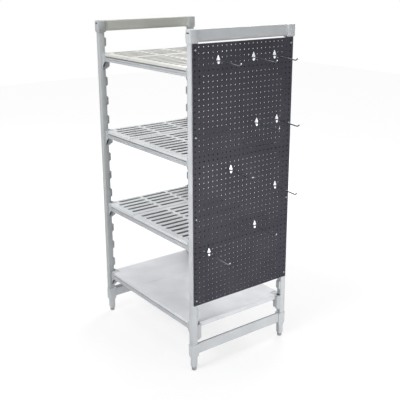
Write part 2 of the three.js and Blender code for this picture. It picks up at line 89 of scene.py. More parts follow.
camera = bpy.data.objects.new("camera", bpy.data.cameras.new("camera"))
camera.data.sensor_width = SENSOR_MM
camera.data.lens = FOCAL_PIXELS / IMAGE_PIXELS * SENSOR_MM
camera.data.shift_y = LENS_SHIFT
camera.data.clip_end = VIEW_DISTANCE
camera.matrix_world = (Matrix.Translation(CAMERA_PLACE) @ Matrix.Rotation(CAMERA_TURN, 4, "Z")
                       @ Matrix.Rotation(CAMERA_TIP, 4, "X") @ Matrix.Rotation(CAMERA_ROLL, 4, "Z"))
bpy.context.scene.collection.objects.link(camera)
bpy.context.scene.camera = camera
bpy.context.scene.view_settings.view_transform = "Standard"
print("camera lens", round(camera.data.lens, 1), "mm")

# %% [markdown]
# ## Colours and nodes
# Colours are written as sRGB hex, as a paint chart gives them, and one function turns them to the linear
# values that Blender's shaders add up. One more function adds a node with its settings and its links.

# %% Helpers for colours and nodes


def linear(hex_colour):
    """Linear colour of an sRGB hex: each part c becomes c / 12.92 up to 0.04045, and above that
    ((c + 0.055) / 1.055) to the power 2.4."""
    parts = np.array([int(hex_colour[i:i + 2], 16) for i in (1, 3, 5)]) / 255
    return (*np.where(parts <= 0.04045, parts / 12.92, ((parts + 0.055) / 1.055) ** 2.4), 1.0)


def node(tree, kind, inputs=None, **settings):
    """Adds a node. Settings are its properties; inputs are values, or outputs of other nodes to link."""
    made = tree.nodes.new(kind)
    for name, value in settings.items():
        setattr(made, name, value)
    for name, value in (inputs or {}).items():
        if isinstance(value, bpy.types.NodeSocket):
            tree.links.new(value, made.inputs[name])
        else:
            made.inputs[name].default_value = value
    return made


def empty_material(name):
    """A material whose node tree holds only its output."""
    material = bpy.data.materials.new(name)
    material.use_nodes = True
    material.node_tree.nodes.clear()
    return material, material.node_tree, node(material.node_tree, "ShaderNodeOutputMaterial")


print("helpers ready")

# %% [markdown]
# ## Moulded grey polymer
# Posts, caps, rails and shelf plates are injection-moulded polypropylene. It is matte with a soft sheen, its
# grey drifts a little over a hand's width where the melt cooled at different speeds, and the mould leaves a
# fine grain. Real grain is about 0.3 mm, too fine to show at this size, so it is drawn at 1.5 mm.

# %% Moulded polypropylene
POLYPROPYLENE_IOR = 1.49
DRIFT_MM = 110
FLOW_MM = 35
GRAIN_MM = 1.5
GRAIN_DEPTH_MM = 0.12
SHEEN_SPREAD = 0.06


def moulded_polymer(name, pale, deep, roughness):
    """Polymer whose colour drifts between two greys, with flow marks in its sheen and a fine mould grain."""
    material, tree, output = empty_material(name)
    place = node(tree, "ShaderNodeTexCoord").outputs["Object"]
    drift = node(tree, "ShaderNodeTexNoise", {"Vector": place, "Scale": 1 / (DRIFT_MM * MM), "Detail": 3.0})
    flow = node(tree, "ShaderNodeTexNoise", {"Vector": place, "Scale": 1 / (FLOW_MM * MM), "Detail": 3.0,
                                             "Distortion": 0.6})
    share = node(tree, "ShaderNodeMapRange", {"Value": drift.outputs[0], "From Min": 0.35, "From Max": 0.65})
    # Inputs 6 and 7 of a colour Mix node are its two colours, and output 2 is the mixed colour
    colour = node(tree, "ShaderNodeMix", {0: share.outputs[0], 6: linear(pale), 7: linear(deep)},
                  data_type="RGBA")
    sheen = node(tree, "ShaderNodeMapRange", {
        "Value": flow.outputs[0], "From Min": 0.3, "From Max": 0.7,
        "To Min": roughness - SHEEN_SPREAD, "To Max": roughness + SHEEN_SPREAD})
    grain = node(tree, "ShaderNodeTexNoise", {"Vector": place, "Scale": 1 / (GRAIN_MM * MM), "Detail": 2.0})
    relief = node(tree, "ShaderNodeBump", {"Height": grain.outputs[0], "Strength": 0.35,
                                           "Distance": GRAIN_DEPTH_MM * MM})
    shader = node(tree, "ShaderNodeBsdfPrincipled", {
        "Base Color": colour.outputs[2], "Roughness": sheen.outputs[0], "IOR": POLYPROPYLENE_IOR,
        "Normal": relief.outputs[0]})
    tree.links.new(shader.outputs[0], output.inputs["Surface"])
    return material


post_polymer = moulded_polymer("moulded polypropylene, post grey", "#D1D4D7", "#C9CCCF", 0.52)
# The far end's posts and caps get a darker copy of the post grey, painted shade for the light that fades
# towards the far end. The far bar and the top shelf are a little warmer.
far_post_painted_shade = moulded_polymer("moulded polypropylene, post grey with painted far-end shade", "#C3C6C7", "#BBBEBF", 0.54)
upper_shelf_polymer = moulded_polymer("moulded polypropylene, upper shelf grey", "#DEDDD8", "#D6D5D0", 0.48)
rail_polymer = moulded_polymer("moulded polypropylene, rail grey", "#C3C6C9", "#BBBEC1", 0.54)
shelf_polymer = moulded_polymer("moulded polypropylene, shelf grey", "#E1E3E5", "#D9DCDE", 0.48)
# A darker grey for the walls inside the slots: painted shade where little light reaches
slot_painted_shade = moulded_polymer("moulded polypropylene, painted shade inside the slots", "#9FA1A3", "#929496", 0.6)
bar_polymer = moulded_polymer("moulded polypropylene, bar grey", "#D7D9D3", "#CFD1CA", 0.50)
foot_polymer = moulded_polymer("moulded nylon, foot grey", "#A9ABAD", "#9B9DA0", 0.58)
# Near-black plugs that sit in the cap slots as painted shade
shade_plug_black = moulded_polymer("painted shade, black plug in the cap slots", "#39393B", "#2F2F31", 0.5)
solid_shelf_polymer = moulded_polymer("moulded polypropylene, solid shelf", "#E3E5E9", "#DBDDE1", 0.46)
print("polymers:", post_polymer.name, "/", shelf_polymer.name, "/", bar_polymer.name, "/", foot_polymer.name)

# %% [markdown]
# ## Charcoal board
# The board is a polyethylene sheet with a pebbled face, drilled on a grid. The pebbles scatter the light, so
# it looks soft and slightly blue, and handling leaves faint paler patches. Real pebbles are about 0.8 mm,
# and they are drawn at 2 mm to show.

# %% Pebbled polyethylene
POLYETHYLENE_IOR = 1.51
PEBBLE_MM = 2.0
PEBBLE_DEPTH_MM = 0.15
PATCH_MM = 160

board_polymer, tree, output = empty_material("pebbled polyethylene, charcoal")
place = node(tree, "ShaderNodeTexCoord").outputs["Object"]
patches = node(tree, "ShaderNodeTexNoise", {"Vector": place, "Scale": 1 / (PATCH_MM * MM), "Detail": 4.0})
share = node(tree, "ShaderNodeMapRange", {"Value": patches.outputs[0], "From Min": 0.35, "From Max": 0.65})
colour = node(tree, "ShaderNodeMix", {0: share.outputs[0], 6: linear("#383741"), 7: linear("#2F2E38")},
              data_type="RGBA")
pebbles = node(tree, "ShaderNodeTexVoronoi", {"Vector": place, "Scale": 1 / (PEBBLE_MM * MM)})
relief = node(tree, "ShaderNodeBump", {"Height": pebbles.outputs["Distance"], "Strength": 0.4,
                                       "Distance": PEBBLE_DEPTH_MM * MM})
shader = node(tree, "ShaderNodeBsdfPrincipled", {
    "Base Color": colour.outputs[2], "Roughness": 0.5, "IOR": POLYETHYLENE_IOR, "Specular IOR Level": 0.22,
    "Normal": relief.outputs[0]})
tree.links.new(shader.outputs[0], output.inputs["Surface"])
print("board finish:", board_polymer.name)

# %% [markdown]
# ## Bright zinc plating
# Hooks and screws are drawn steel wire and pressed plate with bright zinc plating. The plating is a metal
# mirror blurred by drawing marks, with a faint blue cast and cloudy patches a few millimetres wide.
# The wire and the screws get a darker copy of it, which is painted shade for the dark reflections they show.

# %% Zinc-plated steel
CLOUD_MM = 7


def plated_steel(name, pale, deep, roughness):
    """Metal whose colour and blur drift together in cloudy patches."""
    material, tree, output = empty_material(name)
    place = node(tree, "ShaderNodeTexCoord").outputs["Object"]
    clouds = node(tree, "ShaderNodeTexNoise", {"Vector": place, "Scale": 1 / (CLOUD_MM * MM), "Detail": 3.0})
    colour = node(tree, "ShaderNodeMix", {0: clouds.outputs[0], 6: linear(pale), 7: linear(deep)},
                  data_type="RGBA")
    blur = node(tree, "ShaderNodeMapRange", {
        "Value": clouds.outputs[0], "From Min": 0.3, "From Max": 0.7,
        "To Min": roughness - 0.05, "To Max": roughness + 0.07})
    shader = node(tree, "ShaderNodeBsdfPrincipled", {
        "Base Color": colour.outputs[2], "Metallic": 1.0, "Roughness": blur.outputs[0]})
    tree.links.new(shader.outputs[0], output.inputs["Surface"])
    return material


zinc_plate = plated_steel("zinc-plated pressed steel", "#ECEEF1", "#D2D5DA", 0.28)
# A darker copy of the plating for wire and screws: painted shade for their dark reflections
zinc_painted_dark = plated_steel("zinc-plated wire, painted dark reflection", "#A0A4AA", "#888C92", 0.32)
print("metal finishes:", zinc_plate.name, "/", zinc_painted_dark.name)

# %% [markdown]
# ## Making a piece from arrays
# Each new piece is worked out as whole arrays of points, and handed to Blender in one go. A piece takes its
# finish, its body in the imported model, and the solids that it stands for.

# %% Helpers for pieces


def dress(piece, material, body, nodes):
    """Gives a piece its finish and its body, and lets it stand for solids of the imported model."""
    piece.data.materials.append(material)
    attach(piece, body)
    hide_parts(*nodes)
    return piece


def piece_from(name, shells, smooth_degrees=35):
    """One object from shells of (points, faces). Edges that bend more than smooth_degrees stay sharp."""
    start, points, faces = 0, [], []
    for shell_points, shell_faces in shells:
        points.append(shell_points)
        faces.extend([start + index for index in face] for face in shell_faces)
        start += len(shell_points)
    mesh = bpy.data.meshes.new(name)
    mesh.from_pydata(np.concatenate(points).tolist(), [], faces)
    mesh.shade_smooth()
    mesh.set_sharp_from_angle(angle=math.radians(smooth_degrees))
    piece = bpy.data.objects.new(name, mesh)
    bpy.context.scene.collection.objects.link(piece)
    # Large faces set the shading of the corners that they share, so that flat faces look flat
    weighted = piece.modifiers.new("flat faces stay flat", "WEIGHTED_NORMAL")
    weighted.keep_sharp = True
    return piece


def grid_faces(rows, columns, close_rows=False, close_columns=True):
    """Quads of a grid of points, row after row. A closed direction joins its last line to its first."""
    row = np.arange(rows if close_rows else rows - 1)[:, None]
    column = np.arange(columns if close_columns else columns - 1)[None, :]
    here, right = row * columns + column, row * columns + (column + 1) % columns
    next_row = (row + 1) % rows
    up, up_right = next_row * columns + column, next_row * columns + (column + 1) % columns
    return np.stack([here, right, up_right, up], axis=-1).reshape(-1, 4)


def shell(rows):
    """Points and faces of a closed shell from rings of points, with flat ends. Its volume, the sum of
    a . (b x c) / 6 over its triangles, is negative if its faces point inwards, and they are then turned."""
    rows = np.asarray(rows, float)
    count, sides = rows.shape[:2]
    points = rows.reshape(-1, 3)
    last = len(points) - sides
    quads = grid_faces(count, sides)
    fan = np.arange(1, sides - 1)
    triangles = np.concatenate([quads[:, [0, 1, 2]], quads[:, [0, 2, 3]],
                                np.stack([fan * 0, fan + 1, fan], axis=1),
                                np.stack([fan * 0 + last, last + fan, last + fan + 1], axis=1)])
    a, b, c = (points[triangles[:, k]] - points[0] for k in range(3))
    faces = quads.tolist() + [list(range(sides))[::-1], list(range(last, last + sides))]
    inwards = np.einsum("ij,ij->i", a, np.cross(b, c)).sum() < 0
    return points, [face[::-1] for face in faces] if inwards else faces


print("piece helpers ready")

# %% [markdown]
# ## Posts, caps, legs and feet
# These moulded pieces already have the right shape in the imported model, but a moulding has no knife edges.
# A copy of each solid has its loose triangles joined, its flat faces made whole, and its edges rounded by
# about a millimetre, which gives each edge the thin highlight that real polymer shows.

# %% Rounded copies of the moulded solids
JOIN_DISTANCE = 0.00002
FLAT_ANGLE = math.radians(0.6)
EDGE_ANGLE = math.radians(28)


def rounded_copy(node_name, material, width_mm):
    """A copy of a solid with joined corners and whole faces, and edges rounded to width_mm."""
    solid = frame["nodes"][node_name]
    shape = bmesh.new()
    shape.from_mesh(solid.data)
    bmesh.ops.remove_doubles(shape, verts=shape.verts, dist=JOIN_DISTANCE)
    bmesh.ops.dissolve_limit(shape, angle_limit=FLAT_ANGLE, verts=shape.verts, edges=shape.edges)
    mesh = bpy.data.meshes.new(node_name + "_moulding")
    shape.to_mesh(mesh)
    shape.free()
    mesh.shade_smooth()
    piece = bpy.data.objects.new(mesh.name, mesh)
    bpy.context.scene.collection.objects.link(piece)
    bevel = piece.modifiers.new("rounded edges", "BEVEL")
    bevel.width = width_mm * MM
    bevel.segments = 2
    bevel.limit_method = "ANGLE"
    bevel.angle_limit = EDGE_ANGLE
    bevel.harden_normals = True
    return dress(piece, material, solid["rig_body"], [node_name])


# The start of the names, the finish, its slot in the record, and the width of the rounding in millimetres
MOULDINGS = [
    ("post_front_", post_polymer, "grey_polymer", 0.9),
    ("cap_front_", post_polymer, "grey_polymer", 0.9),
    # The far posts and caps take the darker copy of the post grey, which is painted shade
    ("post_back_", far_post_painted_shade, "grey_polymer", 0.9),
    ("cap_back_", far_post_painted_shade, "grey_polymer", 0.9),
    ("leg_", post_polymer, "grey_polymer", 0.9),
    ("foot_", foot_polymer, "foot_polymer", 0.6)]
for start, material, slot, width_mm in MOULDINGS:
    names = sorted(name for name in frame["nodes"] if name.startswith(start))
    for name in names:
        rounded_copy(name, material, width_mm)
    print(start, len(names), "pieces rounded by", width_mm, "mm")

# %% [markdown]
# ## Outlines with rounded corners
# Shelf plates and hook plates are flat pieces with an outline. An outline is a list of corners, counted
# anticlockwise, each with its own radius. Insetting it by a distance moves every side inwards and makes an
# outer corner's arc smaller and an inner corner's arc larger, so all insets have the same count of points.

# %% Rounded outlines
CORNER_STEPS = 4


def rounded_outline(corners, radii, inset=0.0):
    """Points of an outline inset by a distance. A corner turns from its incoming side's outward normal n
    to its outgoing side's normal m: centre - (inset - s r) (n cos t + m sin t) for a right angle, where r is
    the radius and s is 1 at an outer corner and -1 at an inner one. A radius of 0 keeps a straight point."""
    corners = np.array(corners, float)
    sides = np.roll(corners, -1, axis=0) - corners
    sides /= np.linalg.norm(sides, axis=1)[:, None]
    normals = np.stack([sides[:, 1], -sides[:, 0]], axis=1)
    points = []
    for corner, n, m, radius in zip(corners, np.roll(normals, 1, axis=0), normals, radii):
        if radius == 0:
            points.append(corner - (n + m) / (1 + n @ m) * inset)
            continue
        turn = math.copysign(1, n[0] * m[1] - n[1] * m[0])
        angle = math.acos(np.clip(n @ m, -1, 1))
        centre = corner - turn * radius * (n + m) / (1 + n @ m)
        t = np.linspace(0, angle, CORNER_STEPS + 1)[:, None]
        arc = (n * np.sin(angle - t) + m * np.sin(t)) / math.sin(angle)
        points.extend(centre + (turn * radius - inset) * arc)
    return np.array(points)


def filled(loops):
    """Triangles between an outer loop and the loops inside it, as indices into the loops laid end to end.
    A triangle whose three corners are on one inner loop lies in that hole, and is left out."""
    starts = np.cumsum([0] + [len(loop) for loop in loops])
    edges = [(start + i, start + (i + 1) % len(loop))
             for start, loop in zip(starts, loops) for i in range(len(loop))]
    made = delaunay_2d_cdt(np.concatenate(loops).tolist(), edges, [], 1, 1e-7)
    origin = np.array([sources[0] for sources in made[3]])
    triangles = origin[np.array(made[2])]
    owner = np.searchsorted(starts, triangles, side="right") - 1
    in_hole = (owner[:, 0] > 0) & (owner[:, 0] == owner[:, 1]) & (owner[:, 1] == owner[:, 2])
    return triangles[~in_hole]


QUARTER = np.linspace(0, math.pi / 2, 4)


def extruded(axis, corners, radii, start, finish, edge, between=()):
    """Rings of an outline in the two other axes, in X, Y, Z order, pushed along an axis. Its ends turn over
    a quarter circle: at angle a the outline is inset by edge (1 - sin a), edge (1 - cos a) from the end."""
    corners, radii = np.array(corners, float), list(radii)
    x, y = corners.T
    if (x * np.roll(y, -1) - y * np.roll(x, -1)).sum() < 0:
        corners, radii = corners[::-1], radii[::-1]
    start, finish = min(start, finish), max(start, finish)
    inset, travel = edge * (1 - np.sin(QUARTER)), edge * (1 - np.cos(QUARTER))
    places = np.concatenate([start + travel, sorted(between), finish - travel[::-1]])
    insets = np.concatenate([inset, np.zeros(len(between)), inset[::-1]])
    return np.array([np.insert(rounded_outline(corners, radii, by), axis, at, axis=1)
                     for at, by in zip(places, insets)])


square = rounded_outline([(0, 0), (1, 0), (1, 1), (0, 1)], [0.1] * 4)
print("the outline of a rounded square has", len(square), "points")

# %% [markdown]
# ## Painted shade in the cap slots
# Each cap has a small slot in its outer face, and a black plug sits in it as painted shade. The plug's face
# is a rounded outline a little smaller than the slot, pushed along X to just behind the cap's face.

# %% Painted shade in the cap slots
CAP_REACH = 304.8 * MM  # from the unit's middle to the cap's outer face
SHADE_PLUG_DROP, SHADE_PLUG_WIDTH, SHADE_PLUG_HEIGHT, SHADE_PLUG_RADIUS, SHADE_PLUG_EDGE = 14.5 * MM, 19.4 * MM, 5.4 * MM, 1.5 * MM, 0.4 * MM
SHADE_PLUG_BACK, SHADE_PLUG_FRONT = 2.9 * MM, 1.0 * MM  # depths of the plug's two ends below the cap's outer face
shade_plugs = []
for name in sorted(name for name in frame["nodes"] if name.startswith("cap_")):
    low, high = (np.array(corner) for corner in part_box(name))
    side = -1 if name.endswith("left") else 1
    y, z = (low[1] + high[1]) / 2, high[2] - SHADE_PLUG_DROP
    y0, y1, z0, z1 = y - SHADE_PLUG_WIDTH / 2, y + SHADE_PLUG_WIDTH / 2, z - SHADE_PLUG_HEIGHT / 2, z + SHADE_PLUG_HEIGHT / 2
    shade_plugs.append(shell(extruded(0, [(y0, z0), (y1, z0), (y1, z1), (y0, z1)], [SHADE_PLUG_RADIUS] * 4,
                               side * (CAP_REACH - SHADE_PLUG_BACK), side * (CAP_REACH - SHADE_PLUG_FRONT), SHADE_PLUG_EDGE)))
slot_shade_plugs = piece_from("cap_slot_shade_plugs", shade_plugs)
slot_shade_plugs.data.materials.append(shade_plug_black)
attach(slot_shade_plugs, "frame")
print(len(shade_plugs), "shade plugs in the cap slots")

# %% [markdown]
# ## Sleeves
# A sleeve is a thick cup round the foot of each post, drawn in towards the leg below and with a raised rim
# at its top. It is a rounded rectangle carried up its height, inset by a different distance at each level.

# %% Sleeves
SLEEVE_FILLET = 5.0 * MM
# Height and inset of each level, in millimetres
SLEEVE_LEVELS = [(0, 6), (0.6, 5.2), (13, 1.4), (66, 1.2), (66.4, 0.3), (67.2, 0),
                 (69.2, 0), (69.8, 0.4), (70, 1.2)]
for name in sorted(name for name in frame["nodes"] if name.startswith("sleeve_")):
    low, high = (np.array(corner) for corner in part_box(name))
    rings = []
    for height, inset in SLEEVE_LEVELS:
        (x0, y0), (x1, y1) = low[:2] + inset * MM, high[:2] - inset * MM
        loop = rounded_outline([(x0, y0), (x1, y0), (x1, y1), (x0, y1)], [SLEEVE_FILLET] * 4)
        rings.append(np.insert(loop, 2, low[2] + height * MM, axis=1))
    dress(piece_from(name + "_moulding", [shell(rings)]), post_polymer, "frame", [name])
print(len(SLEEVE_LEVELS), "levels in a sleeve")

# %% [markdown]
# ## Top and bottom bars
# The bar across the top of two posts is a hollow beam with a rounded crown and a slanted lower edge. The one
# between two sleeves is a trough, open at the top, with a lower wall towards the middle of the unit. Both are
# one outline pushed along X.

# %% Bars
TOP_BAR_BEVEL, TOP_BAR_SLANT, TROUGH_WALL, TROUGH_DROP = 10 * MM, 5 * MM, 3 * MM, 9 * MM
TOP_BAR_CROWN, TOP_BAR_SIDE, TOP_BAR_FOOT = 5 * MM, 3 * MM, 1.5 * MM  # radii
TROUGH_FOOT, TROUGH_LIP, TROUGH_INNER = 2 * MM, 1 * MM, 1.5 * MM  # radii
BAR_END = 0.3 * MM  # rounding of a bar's two ends
for name in sorted(name for name in frame["nodes"] if "_bar_" in name):
    low, high = (np.array(corner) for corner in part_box(name))
    (y0, z0), (y1, z1) = low[1:], high[1:]
    if name.startswith("top"):
        outline = [(y0 + TOP_BAR_SLANT, z0), (y1 - TOP_BAR_SLANT, z0), (y1, z0 + TOP_BAR_BEVEL), (y1, z1),
                   (y0, z1), (y0, z0 + TOP_BAR_BEVEL)]
        radii = [TOP_BAR_FOOT, TOP_BAR_FOOT, TOP_BAR_SIDE, TOP_BAR_CROWN, TOP_BAR_CROWN, TOP_BAR_SIDE]
    else:
        wall, floor_z = TROUGH_WALL, z0 + TROUGH_WALL
        low_z, high_z = (z1, z1 - TROUGH_DROP) if name.endswith("front") else (z1 - TROUGH_DROP, z1)
        outline = [(y0, z0), (y1, z0), (y1, high_z), (y1 - wall, high_z), (y1 - wall, floor_z),
                   (y0 + wall, floor_z), (y0 + wall, low_z), (y0, low_z)]
        radii = [TROUGH_FOOT] * 2 + [TROUGH_LIP] * 2 + [TROUGH_INNER] * 2 + [TROUGH_LIP] * 2
    bar = piece_from(name + "_moulding", [shell(extruded(0, outline, radii, low[0], high[0], BAR_END))])
    material = bar_polymer if name == "top_bar_back" else post_polymer
    dress(bar, material, "frame", [name])
    print(bar.name, len(bar.data.polygons), "faces")

# %% [markdown]
# ## Side rails and their brackets
# A rail is one long bar with a groove in its outer face. The bracket at each end clips over a wedge of the
# post: a channel open to the post goes round the wedge, a block rests on top of it, a head joins them to the
# bar, and under the bar a plate with a curved edge is the gusset at the outer side. Each is an outline pushed
# along one axis, with rounded ends. The lower end of the channel is cut at a slant, which raises every point
# below the slanted line to it. A gutter under the shelf's rim and a groove show as two dark lines.

# %% Side rails
POST_X, RAIL_TOP, RAIL_HEIGHT, RAIL_INSET = 282 * MM, 12.8 * MM, 27 * MM, 1.6 * MM
OVERHANG, BRACKET_X, BRACKET_Y, BRACKET_HEAD, BRACKET_FOOT = 4.5 * MM, 36 * MM, 42 * MM, 1 * MM, 81 * MM
POST_SIDE, FLANK, LIP, WEDGE_TOP = 14.05 * MM, 11.3 * MM, 2.7 * MM, 19.7 * MM
WEDGE_ROOM = (14.3 * MM, 24.3 * MM)  # near and far side of the room for the wedge
GUSSET_REACH, GUSSET_PLATE, TIP_START, TIP_HEIGHT = 43 * MM, 5 * MM, 28 * MM, 12 * MM
# Places on the gusset's curved edge, as shares of its reach and of its height
GUSSET_SHARES = np.array([(1, 0), (0.56, 0.22), (0.24, 0.6), (0.1, 1)])
# The bar's outline: places inwards from its outer face, drops from its top, and radii
BAR_IN = np.array([10, 10, 1.6, 1.6, 0, 0, 3.6, 0, 0, 26, 26])
BAR_DROP = np.array([0, 11.4, 11.4, 5.4, 5.4, 12.6, 14.6, 16.6, 27, 27, 0])
BAR_RADII = np.array([0.5, 0.5, 0.5, 0.5, 0.6, 0.5, 0.3, 0.5, 2.5, 2, 1.2]) * MM
BAR_OVERLAP, BAR_EDGE = 2 * MM, 0.2 * MM  # how far the bar enters its brackets, and its ends' rounding
# Radii: of tight and soft corners, of the channel's corner and the head's, and along the gusset's curve
TIGHT, SOFT, CHANNEL_CORNER, HEAD_CORNER, EDGE = 0.3 * MM, 0.5 * MM, 3 * MM, 2 * MM, 1.0 * MM
GUSSET_RADII = [0, 0.5 * MM, 1 * MM, 60 * MM, 30 * MM, 0.5 * MM, 0]


def bracket_shells(inward, towards, centre_y, top):
    """The parts of one bracket. inward and towards are +1 or -1 along X and Y."""
    head, foot, sole = top - BRACKET_HEAD, top - BRACKET_FOOT, top - RAIL_TOP - RAIL_HEIGHT

    def placed(rings):
        """Slants the inner part's lower end, and puts the bracket's own X and Y at its post."""
        points = rings.reshape(-1, 3)
        slant = foot + (points[:, 0] - TIP_START) * TIP_HEIGHT / (BRACKET_X - TIP_START)
        points[:, 2] = np.where(points[:, 0] > TIP_START, np.maximum(points[:, 2], slant), points[:, 2])
        points[:, 0] = inward * (points[:, 0] - POST_X)
        points[:, 1] = centre_y + towards * points[:, 1]
        return shell(rings)

    near, far = WEDGE_ROOM
    channel = [(near, -FLANK - LIP), (BRACKET_X, -FLANK - LIP), (BRACKET_X, POST_SIDE + LIP),
               (near, POST_SIDE + LIP), (near, FLANK), (far, FLANK), (far, -FLANK), (near, -FLANK)]
    block = [(near, -FLANK - LIP / 2), (far + LIP, -FLANK - LIP / 2),
             (far + LIP, POST_SIDE), (near, POST_SIDE)]
    gusset = np.column_stack([POST_SIDE + GUSSET_SHARES[:, 0] * (GUSSET_REACH - POST_SIDE),
                              sole - GUSSET_SHARES[:, 1] * (sole - foot)])
    join = [(POST_SIDE, head), (POST_SIDE, sole), (BRACKET_Y, sole), (BRACKET_Y, head)]
    plate = [(POST_SIDE, sole + MM), (POST_SIDE, foot), *gusset[::-1], (BRACKET_Y, sole + MM)]
    wall = [(POST_SIDE, sole + MM), (POST_SIDE, foot), (POST_SIDE + LIP, foot), (POST_SIDE + LIP, sole + MM)]
    tip_rings = np.linspace(foot + 2 * MM, foot + TIP_HEIGHT + MM, 5)
    return [
        placed(extruded(2, channel, [TIGHT, CHANNEL_CORNER] + [TIGHT] * 6, foot, head, EDGE / 2, tip_rings)),
        placed(extruded(2, block, [TIGHT] * 4, top - WEDGE_TOP, head - 0.1 * MM, EDGE / 2)),
        placed(extruded(0, join, [SOFT, SOFT, SOFT, HEAD_CORNER], -OVERHANG, BRACKET_X, EDGE)),
        placed(extruded(0, plate, GUSSET_RADII, -OVERHANG, GUSSET_PLATE - OVERHANG, EDGE)),
        placed(extruded(0, wall, [TIGHT] * 4, 0, near + MM, EDGE / 2))]


for name in sorted(name for name in frame["nodes"] if name.startswith("rail_")):
    low, high = (np.array(corner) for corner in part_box(name))
    top, inward = high[2] + BRACKET_HEAD, 1 if name.endswith("left") else -1
    outer, bar_top = -inward * (POST_X + OVERHANG - RAIL_INSET), top - RAIL_TOP
    centres = [low[1] + FLANK + LIP, high[1] - FLANK - LIP]
    section = np.column_stack([outer + inward * BAR_IN * MM, bar_top - BAR_DROP * MM])
    bar = extruded(1, section, BAR_RADII,
                   centres[0] + BRACKET_Y - BAR_OVERLAP, centres[1] - BRACKET_Y + BAR_OVERLAP, BAR_EDGE)
    shells = [shell(bar)]
    for centre_y, towards in zip(centres, (1, -1)):
        shells += bracket_shells(inward, towards, centre_y, top)
    rail = piece_from(name + "_moulding", shells)
    dress(rail, rail_polymer, "frame", [name])
    print(rail.name, len(rail.data.polygons), "faces")

# %% [markdown]
# ## Shelf plates
# Each level has two plates that lie on the side rails. The upper ones have rows of slots with round ends, so
# that air and water pass through, and each slot has a short wall below it that stiffens the plate. That wall,
# which also carries a darker grey as painted shade, is why the slots look dark from the side. The outline's
# edge turns down into a rim, deeper at the two ends.
# One profile is carried along the outline and another round each slot, and the flat faces between these
# loops are filled above and below.

# %% Sizes of the shelf plates
PLATE, EDGE_ROUND, RIM_DEPTH, END_DEPTH, RIM_WALL = 4 * MM, 1.2 * MM, 12.5 * MM, 24 * MM, 3 * MM
SLOT_WIDTH, SLOT_PITCH, SLOT_RIB, SLOT_WALL, SLOT_DEPTH = 20 * MM, 45.6 * MM, 14 * MM, 2.0 * MM, 20 * MM
MIDDLE_SLOT, SLOT_SIDE_BORDER = 154 * MM, 30.5 * MM
RAIL_WIDTH, STIFFENER_WIDTH, STIFFENER_DEPTH = 28 * MM, 5 * MM, 18 * MM
FIT = 0.3 * MM  # room between a plate and the bracket or rail beside it
END_INSET = 2 * MM  # from the posts' centre line to a plate's outer end
LIP_STEP = 0.6 * MM  # length over which the rim changes its depth
FIRST_SLOT = 30.7 * MM  # from a plate's outer end to the middle of its first row of slots
JOINT_GAP = 4.8 * MM  # between slotted plates, wide enough to show as the dark line between them


def stadium(x0, x1, y, half, grow=0.0, steps=6):
    """A slot's loop, counted anticlockwise: two half circles of radius half + grow about its end centres."""
    t = np.linspace(-math.pi / 2, math.pi / 2, steps + 1)
    radius = half + grow
    right = np.stack([x1 - half + radius * np.cos(t), y + radius * np.sin(t)], axis=1)
    left = np.stack([x0 + half - radius * np.cos(t), y - radius * np.sin(t)], axis=1)
    return np.concatenate([right, left])


def box_shell(low, high):
    """The eight corners and six outward faces of a straight rib under a plate."""
    corners = np.array([[x, y, z] for z in (low[2], high[2]) for x, y in (
        (low[0], low[1]), (high[0], low[1]), (high[0], high[1]), (low[0], high[1]))])
    return corners, [[3, 2, 1, 0], [4, 5, 6, 7], [0, 1, 5, 4], [1, 2, 6, 5], [2, 3, 7, 6], [3, 0, 4, 7]]


def carried(loops, heights):
    """Points and faces of a profile carried round a loop: row k is loops[k] at heights[k], one per point."""
    rows = [np.column_stack([loop, np.broadcast_to(height, len(loop))])
            for loop, height in zip(loops, heights)]
    return np.concatenate(rows), grid_faces(len(rows), len(loops[0]))


print("slots are", SLOT_WIDTH / MM, "mm wide at", SLOT_PITCH / MM, "mm")

# %% Shelf plates


